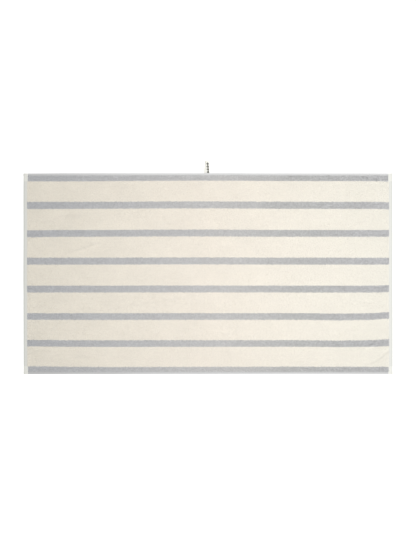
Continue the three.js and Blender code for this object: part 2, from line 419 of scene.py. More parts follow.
def hem_rows(bend, hem_run, seam_run):
    """Flat distances from the middle to the rows of one hem, from the field out to the raw edge."""
    pinch = [seam_run - BESIDE_SEAM, seam_run, seam_run + BESIDE_SEAM]
    on_top = [0, BESIDE_BEND, (pinch[0] + BESIDE_BEND) / 2, *pinch]
    on_top += [hem_run + more for more in BEYOND_HEM]
    below = [BESIDE_BEND, *pinch, hem_run]
    rows = [bend - run for run in reversed(on_top)]
    rows += [bend + bend_length * step / BEND_STEPS for step in range(1, BEND_STEPS + 1)]
    rows += [bend + bend_length + run for run in below]
    return rows


def spread(start, stop, cell):
    """Even places from start up to, but not including, stop, about one cell apart."""
    return list(np.linspace(start, stop, max(1, round((stop - start) / cell)), endpoint=False))


end_rows = hem_rows(end_bend, end_hem_run, end_seam_run)
side_rows = hem_rows(side_bend, side_hem_run, side_seam_run)
field_u = end_rows[0] - 5  # the field's even rows stop this far short of the hems' own
field_v = side_rows[0] - 4
crease_u = 690  # the deepest creases lie in the corner beyond these two
crease_v = -320
tape_u = (-45, 25)  # and the tape lifts the hem between these two
middle_u = spread(-field_u, tape_u[0], COARSE) + spread(*tape_u, FINE)
middle_u += spread(tape_u[1], crease_u, COARSE) + spread(crease_u, field_u, FINE) + [field_u]
middle_v = spread(-field_v, crease_v, FINE) + spread(crease_v, field_v, COARSE) + [field_v]
columns = np.array([-row for row in reversed(end_rows)] + middle_u + end_rows)
rows = np.array([-row for row in reversed(side_rows)] + middle_v + side_rows)
print("grid of", len(columns), "by", len(rows))


# %% Lay a grid
def deselect():
    """Operators act on all that is selected, so nothing is selected before each new piece."""
    bpy.ops.object.select_all(action="DESELECT")


def corners_of(piece):
    """Every corner of a piece, as rows of x, y and z."""
    corners = np.empty(len(piece.data.vertices) * 3)
    piece.data.vertices.foreach_get("co", corners)
    return corners.reshape(-1, 3)


def laid_grid(name, us, vs, place):
    """A grid whose corners are put where place(u, v) says, with the flat cloth as its UV map."""
    deselect()
    bpy.ops.mesh.primitive_grid_add(x_subdivisions=len(us) - 1, y_subdivisions=len(vs) - 1, size=2)
    piece = bpy.context.object
    piece.name = name
    mesh = piece.data
    mesh.name = name
    corners = corners_of(piece)
    u = us[np.rint((corners[:, 0] + 1) / 2 * (len(us) - 1)).astype(int)]
    v = vs[np.rint((corners[:, 1] + 1) / 2 * (len(vs) - 1)).astype(int)]
    placed = np.stack(place(u, v), axis=1) * MM
    mesh.vertices.foreach_set("co", placed.ravel())
    used = np.empty(len(mesh.loops), int)
    mesh.loops.foreach_get("vertex_index", used)
    mesh.uv_layers[0].name = "flat_cloth"
    mesh.uv_layers[0].uv.foreach_set("vector", (np.stack([u, v], axis=1)[used] * MM).ravel())
    mesh.update()
    return piece, u, v


def triangles(piece):
    """How many triangles a piece comes to."""
    return sum(len(face.vertices) - 2 for face in piece.data.polygons)


# %% Give a sheet its thickness
def give_body(piece, thickness, **settings):
    """Give a sheet its thickness, and an empty material slot for each of its two faces."""
    for _ in range(2):
        bpy.ops.object.material_slot_add()
    bpy.ops.object.modifier_add(type="SOLIDIFY")
    body = piece.modifiers[-1]
    body.thickness = thickness * MM
    body.offset = 0
    body.material_offset = 1
    for field, value in settings.items():
        setattr(body, field, value)
    bpy.ops.object.modifier_apply(modifier=body.name)


# %% The cloth itself
towel, flat_u, flat_v = laid_grid("towel_cloth", columns, rows, lambda u, v: cloth_at(u, v)[:3])
thickness = cloth_at(flat_u, flat_v)[3]
thickest = thickness.max()
group = towel.vertex_groups.new(name="thickness")
for index, share in enumerate(thickness / thickest):
    group.add([index], float(share), "REPLACE")
give_body(towel, thickest, vertex_group="thickness", use_quality_normals=True)
bpy.ops.object.shade_smooth()
print("cloth triangles:", triangles(towel))

# %% [markdown]
# ## Stripes, and the colour of the yarn
# The stripes are woven in: cream and grey yarns lie side by side, so their colours follow the flat
# cloth and waver with it. One dye lot is never quite even, and pile that has been stroked one way or
# the other looks lighter or darker, so each yarn has a slow drift from end to end and a faint mottling
# in patches, in streaks along the rows of loops and in tufts. The grey's drift also carries a painted
# sheen, palest just past the middle. One painted picture could be wrapped over the whole towel
# instead, but nodes keep working at any size, and one function serves every piece.

# %% Stripes across the towel, in millimetres, from the far side up to the loop's side
Stripe = namedtuple("Stripe", "yarn width")
GREY_WIDTHS = [33.0, 29.8, 30.6, 31.5, 31.3, 31.3, 31.7, 36.0]  # the outermost ones run into the hems
CREAM_WIDTHS = [91.5, 92.8, 94.2, 95.9, 95.0, 95.8, 94.5]
STRIPES = [Stripe("grey", GREY_WIDTHS[0])]
for cream_width, grey_width in zip(CREAM_WIDTHS, GREY_WIDTHS[1:]):
    STRIPES += [Stripe("cream", cream_width), Stripe("grey", grey_width)]
stretch = 2 * half_width / sum(stripe.width for stripe in STRIPES)
stripe_edges = [-half_width]
for stripe in STRIPES:
    stripe_edges.append(stripe_edges[-1] + stripe.width * stretch)
print("stripe edges, mm:", [round(edge, 1) for edge in stripe_edges])

# %% Cotton yarn and its colours
# Combed ring-spun cotton: soft, matt and faintly furry, so fully rough, with a little sheen.
# The index of refraction is cellulose's, about 1.54.
COTTON = {"Roughness": 1.0, "IOR": 1.54, "Specular IOR Level": 0.2, "Sheen Weight": 0.15}
# share of the way from the left end to the right end, colour: the cream is a little cooler at the
# right, and the grey is cooler at both ends; a painted sheen makes the grey palest just past the middle
# and then darker
DRIFT_AND_SHEEN = {
    "cream": [(0.0, "#eae5da"), (0.5, "#ebe5db"), (1.0, "#e9e6dd")],
    "grey": [(0.0, "#c0c1c3"), (0.55, "#c5c4c3"), (0.75, "#bbbbba"), (1.0, "#bcbcbd")],
}
# repeats to a metre along and across the towel, octaves, and how far the colour swings each way
Mottle = namedtuple("Mottle", "along across octaves swing")
MOTTLES = {
    "cream": [Mottle(6, 8, 2, 0.05), Mottle(9, 150, 1, 0.03)],
    "grey": [Mottle(8, 12, 2, 0.12), Mottle(30, 150, 1, 0.18), Mottle(110, 110, 1, 0.3)],
}
# share of the way from the left end to the right end, how much of the mottling shows
UNEVENNESS = {
    "cream": [(0.0, "#ffffff"), (0.5, "#e0e0e0"), (1.0, "#b0b0b0")],
    "grey": [(0.0, "#b8b8b8"), (0.1, "#a0a0a0"), (0.6, "#a0a0a0"), (0.85, "#e0e0e0")],
}


# %% Functions that colour the yarn
def times(tree, colour, factor, low, high, amount=1.0):
    """A colour multiplied by a factor, whose 0 to 1 is first stretched from low to high."""
    inputs = {"To Min": low, "To Max": high, "Value": factor}
    swing = add_node(tree, "ShaderNodeMapRange", inputs, clamp=False)
    inputs = {"Factor": amount, "A": colour, "B": swing}
    return add_node(tree, "ShaderNodeMix", inputs, data_type="RGBA", blend_type="MULTIPLY")


def share_of(tree, value, start, stop):
    """How far a place lies on the way from start to stop, from 0 to 1."""
    inputs = {"From Min": start * MM, "From Max": stop * MM, "Value": value}
    return add_node(tree, "ShaderNodeMapRange", inputs)


def yarn_colour(tree, place, yarn):
    """The colour of one yarn at a place on the flat cloth."""
    split = add_node(tree, "ShaderNodeSeparateXYZ", {"Vector": place})
    along = share_of(tree, split.outputs["X"], -half_length, half_length)
    # the drift ramp holds the yarn's own drift from end to end, and for the grey also a painted sheen
    # just past the middle
    drift = add_node(tree, "ShaderNodeValToRGB", {"Fac": along})
    set_stops(drift, DRIFT_AND_SHEEN[yarn])
    uneven = add_node(tree, "ShaderNodeValToRGB", {"Fac": along})
    set_stops(uneven, UNEVENNESS[yarn])
    colour = drift
    for mottle in MOTTLES[yarn]:
        inputs = {"Scale": (mottle.along, mottle.across, 1), "Vector": place}
        scaled = add_node(tree, "ShaderNodeMapping", inputs)
        inputs = {"Scale": 1.0, "Detail": mottle.octaves, "Vector": scaled}
        noise = add_node(tree, "ShaderNodeTexNoise", inputs)
        low, high = 1 - mottle.swing, 1 + mottle.swing
        colour = times(tree, colour, noise.outputs["Fac"], low, high, uneven)
    return colour


# %% [markdown]
# ## What the woven cloth looks like
# Between the loops of the field the ground cloth shows only as shadow, so there it is the yarn's own
# colour with painted shade that darkens it, and pitted. In the hems there is no pile: the cloth is a
# plain weave, cooler and greyer than the loops, because the white ground yarns show. The end hems are
# painted darker towards their turned edge, as shade. Where an end hem crosses the outermost stripes it
# is four layers thick and rubbed paler. The side hems are grey, and darken towards the pile.
# A texture made of painted threads would be the usual way to draw the weave. Two crossed sets of waves
# do the same with no picture.

# %% Masks on the flat cloth
# painted shade: the ground cloth between the loops is drawn darker, as the shadow it lies in
FIELD_PAINTED_SHADE = 0.88  # the ground cloth between the loops, against the loops themselves
LOOP_PITCH = 1.5  # between real loops of the pile
WEAVE_PITCH = 1.0  # real threads lie 0.5 mm apart, and are drawn at twice that so that they show
BORDER = 3.0  # how far behind a side hem's raw edge the flat weave goes on
CORNER_MORE = 3.5  # and how much further in an end hem reaches across the outermost stripes
# which edge each flat-woven part lies along, how far in it reaches, and its colour on the way in
Hem = namedtuple("Hem", "name axis edge depth colours")
HEMS = [
    Hem("side", "Y", half_width, SIDE_HEM + BORDER, [(0, "#cccccc"), (0.55, "#c7c7c7"), (1, "#bdbdbd")]),
    # the end and corner hems are painted darker towards their turned edge, as shade where the cloth
    # rounds over
    Hem("end", "X", half_length, END_HEM, [(0, "#c4c5c0"), (1, "#d2d2cd")]),
    Hem("corner", "X", half_length, END_HEM + CORNER_MORE, [(0, "#d0d0ca"), (1, "#dadad4")]),
]
# how much of a side hem's brightness is left, from the left end to the right end
HEM_DRIFT = [(0, "#efefef"), (0.12, "#f6f6f6"), (0.35, "#ffffff"), (0.7, "#f9f9f9")]
HEM_SIDES = [(0, "#f1f1f1"), (0.5, "#ffffff")]  # and on the far side and the loop's side


def layered(tree, base, layers):
    """Lay colours or values over a base one, each where its mask is 1."""
    for mask, colour in layers:
        inputs = {"Factor": mask, "A": base, "B": colour}
        base = add_node(tree, "ShaderNodeMix", inputs, data_type="RGBA")
    return base


# %% The colour of the cloth
def cloth_colour(tree, flat, split):
    """Yarn colours in the field, the hems' own colours round it, and where the hems are."""
    along = share_of(tree, split.outputs["X"], -half_length, half_length)
    across = share_of(tree, split.outputs["Y"], -half_width, half_width)
    is_grey = add_node(tree, "ShaderNodeValToRGB", {"Fac": across})
    places = [(edge + half_width) / (2 * half_width) for edge in stripe_edges[:-1]]
    tones = {"cream": "#000000", "grey": "#ffffff"}
    set_stops(is_grey, [(p, tones[s.yarn]) for p, s in zip(places, STRIPES)], "CONSTANT")
    cream = yarn_colour(tree, flat, "cream")
    grey = yarn_colour(tree, flat, "grey")
    field = layered(tree, cream, [(is_grey, grey)])
    # painted shade over the field's ground cloth, which shows only between the loops
    field = times(tree, field, is_grey, FIELD_PAINTED_SHADE, FIELD_PAINTED_SHADE)

    colours = {}
    masks = {}
    for hem in HEMS:
        limit = hem.edge - hem.depth
        size = add_node(tree, "ShaderNodeMath", {0: split.outputs[hem.axis]}, operation="ABSOLUTE")
        inputs = {0: size, 1: limit * MM}
        masks[hem.name] = add_node(tree, "ShaderNodeMath", inputs, operation="GREATER_THAN")
        inwards = share_of(tree, size, hem.edge, limit)
        colours[hem.name] = add_node(tree, "ShaderNodeValToRGB", {"Fac": inwards})
        set_stops(colours[hem.name], hem.colours)
    for share, stops, steps in ((along, HEM_DRIFT, "LINEAR"), (across, HEM_SIDES, "CONSTANT")):
        left = add_node(tree, "ShaderNodeValToRGB", {"Fac": share})
        set_stops(left, stops, steps)
        colours["side"] = times(tree, colours["side"], left, 0, 1)
    outermost = add_node(tree, "ShaderNodeValToRGB", {"Fac": across})
    stops = [(0, "#ffffff"), (places[1], "#000000"), (places[-1], "#ffffff")]
    set_stops(outermost, stops, "CONSTANT")
    inputs = {0: masks["corner"], 1: outermost}
    masks["corner"] = add_node(tree, "ShaderNodeMath", inputs, operation="MINIMUM")
    colour = layered(tree, field, [(masks[hem.name], colours[hem.name]) for hem in HEMS])
    in_hem = layered(tree, masks["side"], [(masks[name], masks[name]) for name in ("end", "corner")])
    return colour, in_hem


# %% The relief of the cloth
WAVE_REPEAT = math.pi / 10  # of a wave texture at scale 1
WEAVE_DEPTH = 0.12  # how high the threads of the hems stand
FLECKS = 240  # to a metre: paler and darker places along the spun yarn
FLECK_SWING = 0.04


def cloth_relief(tree, flat, in_hem, pit_depth):
    """Pits between loops in the field, and crossed threads in the hems, in millimetres."""
    inputs = {"Scale": 1 / (LOOP_PITCH * MM), "Randomness": 0.8, "Vector": flat}
    pits = add_node(tree, "ShaderNodeTexVoronoi", inputs)
    scale = WAVE_REPEAT / (WEAVE_PITCH * MM)
    inputs = {"Scale": scale, "Distortion": 0.4, "Detail": 1.0, "Vector": flat}
    threads = []
    for way in ("X", "Y"):
        wave = add_node(tree, "ShaderNodeTexWave", inputs, bands_direction=way)
        threads.append(wave.outputs["Fac"])
    weave = add_node(tree, "ShaderNodeMath", {0: threads[0], 1: threads[1]}, operation="MAXIMUM")
    height = layered(tree, pits.outputs["Distance"], [(in_hem, weave)])
    inputs = {"To Min": -pit_depth, "To Max": WEAVE_DEPTH, "Value": in_hem}
    depth = add_node(tree, "ShaderNodeMapRange", inputs)
    return add_node(tree, "ShaderNodeMath", {0: height, 1: depth}, operation="MULTIPLY")


# %% The cloth's two materials
def woven_cotton(name, pit_depth):
    """Striped cotton: plain weave in the hems, the ground of the pile in the field."""
    material, tree, shader = new_material(name, COTTON)
    flat = add_node(tree, "ShaderNodeUVMap", uv_map="flat_cloth")
    split = add_node(tree, "ShaderNodeSeparateXYZ", {"Vector": flat})
    colour, in_hem = cloth_colour(tree, flat, split)
    fleck = add_node(tree, "ShaderNodeTexNoise", {"Scale": FLECKS, "Vector": flat})
    colour = times(tree, colour, fleck.outputs["Fac"], 1 - FLECK_SWING, 1 + FLECK_SWING)
    finish_material(tree, shader, colour, cloth_relief(tree, flat, in_hem, pit_depth), 1.0)
    return material


PIT_DEPTHS = {"top": 0.8, "underside": 0.5}  # the towel's weight presses the pits below flatter
for slot, (face, pit_depth) in zip(towel.material_slots, PIT_DEPTHS.items()):
    slot.material = woven_cotton(f"woven_cotton_{face}", pit_depth)
print("cloth materials:", [material.name for material in towel.data.materials])

# %% [markdown]
# ## The pile
# Real terry has a loop every millimetre and a half, about seven hundred thousand on one face of this
# towel. A particle system could grow them as hair, but hair isn't a mesh and would be lost outside
# Blender. So tufts are planted over the cloth by geometry nodes, which scatter points no closer than a
# set distance, put a tuft on each at its own lean, turn and size, and leave one joined mesh a stripe.
# A tuft stands for six real loops, whose backs lie across it as the ridges of a bump map, with a
# painted highlight on each back and painted shade between them. Tufts grow close enough to hide the
# ground between them.

# %% One tuft: a low roof as long as six loops of yarn side by side, of which only the backs show
TUFT_LENGTH = 5.6
TUFT_WIDTH = 3.9
TUFT_TOP = 2.7  # above the ground cloth
TUFT_ROOT = 1.0  # how deep it sits in the ground cloth
LOOPS_IN_TUFT = 6
CROWN = 0.42  # how long its top is, as a share of its foot
deselect()
bpy.ops.mesh.primitive_plane_add(size=1, location=(0, 0, 0))
tuft = bpy.context.object
tuft.name = "pile_tuft"
bpy.ops.object.mode_set(mode="EDIT")
bpy.ops.mesh.select_all(action="SELECT")
bpy.ops.transform.resize(value=(TUFT_LENGTH * MM, TUFT_WIDTH * MM, 1), center_override=(0, 0, 0))
bpy.ops.transform.translate(value=(0, 0, -TUFT_ROOT * MM))
tall = TUFT_ROOT + TUFT_TOP
bpy.ops.mesh.extrude_region_move(TRANSFORM_OT_translate={"value": (0, 0, tall * MM)})
bpy.ops.transform.resize(value=(CROWN, 0, 1), center_override=(0, 0, TUFT_TOP * MM))
bpy.ops.mesh.select_all(action="SELECT")
bpy.ops.mesh.remove_doubles(threshold=0.00001)
bpy.ops.mesh.normals_make_consistent(inside=False)
bpy.ops.object.mode_set(mode="OBJECT")
bpy.ops.object.shade_smooth()
tuft.data.uv_layers.remove(tuft.data.uv_layers[0])
# an angle that makes one full turn from each real loop to the next, for its material to read
strand = tuft.data.attributes.new("strand", "FLOAT", "POINT")
for corner, angle in zip(tuft.data.vertices, strand.data):
    angle.value = corner.co.x / (TUFT_LENGTH / LOOPS_IN_TUFT * MM) * 2 * math.pi
print("tuft faces:", len(tuft.data.polygons), "triangles:", triangles(tuft))


# %% How a node group starts and ends
def new_group(name, inputs):
    """An empty geometry node group, its input node, and the names by which a modifier sets it."""
    group = bpy.data.node_groups.new(name, "GeometryNodeTree")
    group.interface.new_socket("Geometry", in_out="OUTPUT", socket_type="NodeSocketGeometry")
    group.interface.new_socket("Geometry", in_out="INPUT", socket_type="NodeSocketGeometry")
    names = {}
    for title, kind in inputs.items():
        socket = group.interface.new_socket(title, in_out="INPUT", socket_type=kind)
        names[title] = socket.identifier
    return group, add_node(group, "NodeGroupInput"), names


def finish_group(group, copying, material):
    """End a group: a copy of the shape on every point, made real and given its material."""
    copies = add_node(group, "GeometryNodeInstanceOnPoints", copying)
    real = add_node(group, "GeometryNodeRealizeInstances", {"Geometry": copies})
    dyed = add_node(group, "GeometryNodeSetMaterial", {"Geometry": real, "Material": material})
    add_node(group, "NodeGroupOutput", {0: dyed})


# %% A node group that plants tufts all over a strip of ground
SPACING = 2.9  # at least this between two tufts, which comes to 3.9 on average
LEAN = 0.34  # radians
TURN = 1.2
SIZES = {2: 0.85, 3: 1.12}  # a random value's least and most, against the tuft above
CROWD = 3  # points tried in each square of that side, more than there is room for
sockets = {"Seed": "NodeSocketInt", "Yarn": "NodeSocketMaterial"}
planting, given, plant_names = new_group("plant_tufts", sockets)
ground = given.outputs["Geometry"]
seed = given.outputs["Seed"]
density = CROWD / (SPACING * MM) ** 2
inputs = {"Mesh": ground, "Distance Min": SPACING * MM, "Density Max": density, "Seed": seed}
scattering = "GeometryNodeDistributePointsOnFaces"
scattered = add_node(planting, scattering, inputs, distribute_method="POISSON")
tuft_shape = add_node(planting, "GeometryNodeObjectInfo", {"Object": tuft})
swing = {0: (-LEAN, -LEAN, -TURN), 1: (LEAN, LEAN, TURN), "Seed": seed}
lean = add_node(planting, "FunctionNodeRandomValue", swing, data_type="FLOAT_VECTOR")
size = add_node(planting, "FunctionNodeRandomValue", SIZES, data_type="FLOAT")
shape = tuft_shape.outputs["Geometry"]
copying = {"Points": scattered, "Instance": shape, "Rotation": lean, "Scale": size}
finish_group(planting, copying, given.outputs["Yarn"])


# %% Apply a group, and lay a piece out for other programs
def grow(piece, group, settings):
    """Add a geometry node group to a piece, set its inputs by their names, and apply it."""
    modifier = piece.modifiers.new(group.name, "NODES")
    modifier.node_group = group
    for name, value in settings.items():
        modifier[name] = value
    bpy.context.view_layer.objects.active = piece
    bpy.ops.object.modifier_apply(modifier=modifier.name)
    bpy.ops.object.material_slot_remove_unused()


def lay_out(piece):
    """A UV map as seen from above, through which other programs can be given the piece's colours."""
    used = np.empty(len(piece.data.loops), int)
    piece.data.loops.foreach_get("vertex_index", used)
    seen = corners_of(piece)[:, :2]
    share = (seen - seen.min(axis=0)) / np.ptp(seen, axis=0)
    layer = piece.data.uv_layers.new(name="OFBake")
    layer.uv.foreach_set("vector", share[used].ravel())


# %% Pile yarn, in cream and in grey
TUFT_SWING = 0.11  # how far a grey tuft's own tone may lie from the mean; cream ones have none
# painted light on each real loop: a painted highlight on its back, and painted shade between loops where
# the wave falls below zero
STRAND_PAINTED_LIGHT = (1.01, 1.07)  # brightness halfway up a real loop's side, and on its back
STRAND_DEPTH = 0.07  # how high the ridges of the bump map stand
# painted shade and highlight: the pile's colour is darkened along each crease's trough and lightened on
# its ridge, by this much for each millimetre
CREASE_PAINTED_SHADE = 0.1  # how much darker pile is for each millimetre that a crease presses it down


def pile_yarn(name, yarn):
    """Yarn in tufts, each of one tone, read at the place where it is planted."""
    material, tree, shader = new_material(name, COTTON)
    read = {}
    for kind in ("flat_cloth", "pressed", "strand"):
        read[kind] = add_node(tree, "ShaderNodeAttribute", attribute_name=kind)
    place = read["flat_cloth"].outputs["Vector"]
    colour = yarn_colour(tree, place, yarn)
    if yarn == "grey":
        chance = add_node(tree, "ShaderNodeTexWhiteNoise", {"Vector": place})
        colour = times(tree, colour, chance, 1 - TUFT_SWING, 1 + TUFT_SWING)
    # painted shade in the creases' troughs and painted highlight on their ridges, read from the pressed
    # attribute
    colour = times(tree, colour, read["pressed"].outputs["Fac"], 1, 1 + CREASE_PAINTED_SHADE)
    wave = add_node(tree, "ShaderNodeMath", {0: read["strand"].outputs["Fac"]}, operation="SINE")
    # painted highlight on the loops' backs and painted shade between them, from the same wave as the
    # bump
    colour = times(tree, colour, wave, *STRAND_PAINTED_LIGHT)
    finish_material(tree, shader, colour, wave, STRAND_DEPTH)
    return material


yarns = {yarn: pile_yarn(f"{yarn}_pile_yarn", yarn) for yarn in ("cream", "grey")}


# %% Plant every stripe
def on_top(u, v):
    """The upper surface of the cloth."""
    x, y, z, thick = cloth_at(u, v)
    return x, y, z + thick / 2


STRIPE_GAP = 0.6  # bare ground left beside each stripe's edge
END_GAP = 2.8  # and beside the hems
SIDE_GAP = 2.0
LOWEST = 0.2  # no tuft reaches through the cloth
GROUND_CELL = 4.0  # close enough to follow the narrow creases
SHORT_ENDS = {0: (3.7, 0.4), 14: (3.5, 3.4)}  # how much sooner the outermost stripes' pile ends
pile_end = end_bend - end_hem_run - END_GAP
pile_side = side_bend - side_hem_run - SIDE_GAP
for number, stripe in enumerate(STRIPES):
    left_end, right_end = [pile_end - short for short in SHORT_ENDS.get(number, (0, 0))]
    near = max(stripe_edges[number] + STRIPE_GAP, -pile_side)
    far = min(stripe_edges[number + 1] - STRIPE_GAP, pile_side)
    pile_us = np.array(spread(-left_end, right_end, GROUND_CELL) + [right_end])
    pile_vs = np.array(spread(near, far, GROUND_CELL) + [far])
    name = f"pile_{number + 1}_{stripe.yarn}"
    strip, strip_u, strip_v = laid_grid(name, pile_us, pile_vs, on_top)
    # the creases' depths, which the pile's colour turns into painted shade and highlight
    pressed = strip.data.attributes.new("pressed", "FLOAT", "POINT")
    pressed.data.foreach_set("value", crease_height(strip_u, strip_v))
    grow(strip, planting, {plant_names["Seed"]: number, plant_names["Yarn"]: yarns[stripe.yarn]})
    corners = corners_of(strip)
    corners[:, 2] = np.maximum(corners[:, 2], LOWEST * MM)
    strip.data.vertices.foreach_set("co", corners.ravel())
    lay_out(strip)
    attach(strip, "root")

# %% [markdown]
# ## The stitching
# The hems are lockstitched in spun thread about the colour of the hem, three millimetres to a stitch,
# so each seam shows as a row of short dashes on both faces, sunk into the pinched cloth. Bars of
# closer stitches hold the two ends of the tape. A curve with a dashed texture could draw the rows, but
# raised stitches catch the light. One stitch is modelled and copied along narrow strips of ground,
# one copy to each of the strip's cells.

# %% One stitch: a thread that comes up out of the cloth, lies along it and goes down again
STITCH_PITCH = 3.0
STITCH_LENGTH = 2.5
THREAD_WIDTH = 0.6
STITCH_DIP = 0.35  # how far its ends go down
STITCH_ENDS = 0.45  # the ends start this share of its length from its middle
deselect()
bpy.ops.mesh.primitive_uv_sphere_add(
    segments=4, ring_count=4, radius=0.5 * MM, location=(0, 0, 0), rotation=(0, math.pi / 2, 0)
)
stitch = bpy.context.object
stitch.name = "stitch"
stitch.data.uv_layers[0].name = "along_thread"
bpy.ops.object.transform_apply(location=False, rotation=True, scale=False)
bpy.ops.object.mode_set(mode="EDIT")
bpy.ops.mesh.select_all(action="SELECT")
shape = (STITCH_LENGTH, THREAD_WIDTH, THREAD_WIDTH)
bpy.ops.transform.resize(value=shape, center_override=(0, 0, 0))
bpy.ops.mesh.select_all(action="DESELECT")
bpy.ops.object.mode_set(mode="OBJECT")
for corner in stitch.data.vertices:
    corner.select = abs(corner.co.x) > STITCH_LENGTH * MM * STITCH_ENDS
bpy.ops.object.mode_set(mode="EDIT")
bpy.ops.transform.translate(value=(0, 0, -STITCH_DIP * MM))
bpy.ops.object.mode_set(mode="OBJECT")
bpy.ops.object.shade_smooth()
print("stitch triangles:", triangles(stitch), "size, mm:", [round(d / MM, 2) for d in stitch.dimensions])

# %% Sewing thread: three-ply spun polyester, smoother than the cotton, with its plies laid slantwise
PLY_SLANT = 35  # degrees
PLY_DEPTH = 0.08
POLYESTER = {"Roughness": 0.7, "IOR": 1.55, "Specular IOR Level": 0.3}
thread, tree, shader = new_material("spun_sewing_thread", POLYESTER)
along_thread = add_node(tree, "ShaderNodeUVMap", uv_map="along_thread")
inputs = {"Rotation": (0, 0, math.radians(PLY_SLANT)), "Scale": (3, 3, 1), "Vector": along_thread}
slanted = add_node(tree, "ShaderNodeMapping", inputs)
plies = add_node(tree, "ShaderNodeTexWave", {"Scale": 1.0, "Vector": slanted}).outputs["Fac"]
# painted shade: the thread is darker in the grooves between its plies, where the bump is lowest
colour = add_node(tree, "ShaderNodeValToRGB", {"Fac": plies})
set_stops(colour, [(0, "#bfc0ba"), (1, "#dcdcd6")])
finish_material(tree, shader, colour, plies, PLY_DEPTH, strength=0.6)

# %% A node group that sews one stitch on every cell of a strip
SLIP = 0.08  # radians by which one stitch may lie askew
sockets = {"Turn": "NodeSocketVector", "Size": "NodeSocketFloat", "Thread": "NodeSocketMaterial"}
sewing, given, sew_names = new_group("sew_stitches", sockets)
inputs = {"Mesh": given.outputs["Geometry"]}
cells = add_node(sewing, "GeometryNodeMeshToPoints", inputs, mode="FACES")
stitch_shape = add_node(sewing, "GeometryNodeObjectInfo", {"Object": stitch})
swing = {0: (0, 0, -SLIP), 1: (0, 0, SLIP)}
slip = add_node(sewing, "FunctionNodeRandomValue", swing, data_type="FLOAT_VECTOR")
inputs = {0: given.outputs["Turn"], 1: slip}
heading = add_node(sewing, "ShaderNodeVectorMath", inputs, operation="ADD")
shape = stitch_shape.outputs["Geometry"]
size = given.outputs["Size"]
copying = {"Points": cells, "Instance": shape, "Rotation": heading, "Scale": size}
finish_group(sewing, copying, given.outputs["Thread"])


# %% Functions that sew a seam and join seams
PRESSED_IN = 0.1  # how far the stitches below are pushed into the cloth that lies on them


def below(u, v):
    """Just inside the lower surface of the cloth's lowest layer."""
    x, y, z, thick = cloth_at(u, v)
    return x, y, z - thick / 2 + PRESSED_IN


def seam(us, vs, place, turn, size=1.0):
    """A row of stitches along a strip that is one cell wide one way."""
    row, _, _ = laid_grid("seam", np.array(us), np.array(vs), place)
    settings = {sew_names["Turn"]: turn, sew_names["Size"]: size, sew_names["Thread"]: thread}
    grow(row, sewing, settings)
    return row


def join(name, pieces):
    """Join pieces into one, which rides with the towel."""
    deselect()
    for piece in pieces:
        piece.select_set(True)
    bpy.context.view_layer.objects.active = pieces[0]
    bpy.ops.object.join()
    pieces[0].name = name
    pieces[0].data.name = name
    lay_out(pieces[0])
    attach(pieces[0], "root")
    return pieces[0]


# %% Sew the hems
HALF_CELL = 0.3  # half the width of a strip of ground
SEAM_START = 4.0  # how far in from the towel's corners the seams start
ALONG_X = (0, 0, 0)
ALONG_Y = (0, 0, math.pi / 2)
UNDER_X = (math.pi, 0, 0)
UNDER_Y = (math.pi, 0, math.pi / 2)


def strip_at(middle):
    """The two edges of a strip one cell wide."""
    return middle - HALF_CELL, middle + HALF_CELL


side_us = np.arange(-half_length + SEAM_START, half_length - SEAM_START, STITCH_PITCH)
end_vs = np.arange(-half_width + SEAM_START, half_width - SEAM_START, STITCH_PITCH)
under_us = side_us[np.abs(side_us) < half_length - END_HEM - 2]  # the end hems lie over the rest
ends, sides = [], []
for way in (-1, 1):
    top = strip_at(way * (end_bend - end_seam_run))
    under = strip_at(way * (end_bend + bend_length + end_seam_run))
    ends.append(seam(top, end_vs, on_top, ALONG_Y))
    ends.append(seam(under, end_vs, below, UNDER_Y))
    top = strip_at(way * (side_bend - side_seam_run))
    under = strip_at(way * (side_bend + bend_length + side_seam_run))
    sides.append(seam(side_us, top, on_top, ALONG_X))
    sides.append(seam(under_us, under, below, UNDER_X))
end_stitches = join("end_hem_stitches", ends)
side_stitches = join("side_hem_stitches", sides)
print("stitch triangles:", triangles(end_stitches), triangles(side_stitches))

# %% [markdown]
# ## The hanging loop
# The loop is one length of narrow off-white tape. It lies along the floor, turns over at its tip and
# comes back above itself, and both ends are sewn to the underside of the hem. Small dark lozenges are
# woven along the face of the half that comes back. Such a tape bends only up and down, so its middle
# line is worked out as a route, eased so that it has no corners, and a grid follows it. Solidify gives
# it its thickness. A curve with a flat profile would twist wherever the route leans sideways.

# %% The tape's route, in millimetres
TAPE_WIDTH = 13.0
TAPE_THICKNESS = 1.1
TAPE_REACH = 60.0  # past the edge of the towel
FOLD_HEIGHT = 7.8  # between the tape's middle planes where it turns back
LOWER_RUN = (-12.2, -7.8)  # where its middle lies along the edge, at the hem and at the turn
UPPER_RUN = (1.2, -1.4)
DRIFT_START = 8.0
tape_flat = TAPE_THICKNESS / 2
turn_radius = FOLD_HEIGHT / 2
turn_at = TAPE_REACH - turn_radius - tape_flat
# reach past the edge, height of the middle of its thickness
UPPER_HEIGHTS = [(46, 8.2), (36, 7.6), (27, 6.6), (19, 5.2), (12, 3.6), (6, 1.9), (2, 0.8)]
UPPER_HEIGHTS += [(0, tape_flat), (-7.5, tape_flat)]


def lean_of(run, reach):
    """Where a run's middle lies along the edge, at a reach past it."""
    share = smooth((reach - DRIFT_START) / (turn_at - DRIFT_START))
    return run[0] + share * (run[1] - run[0])


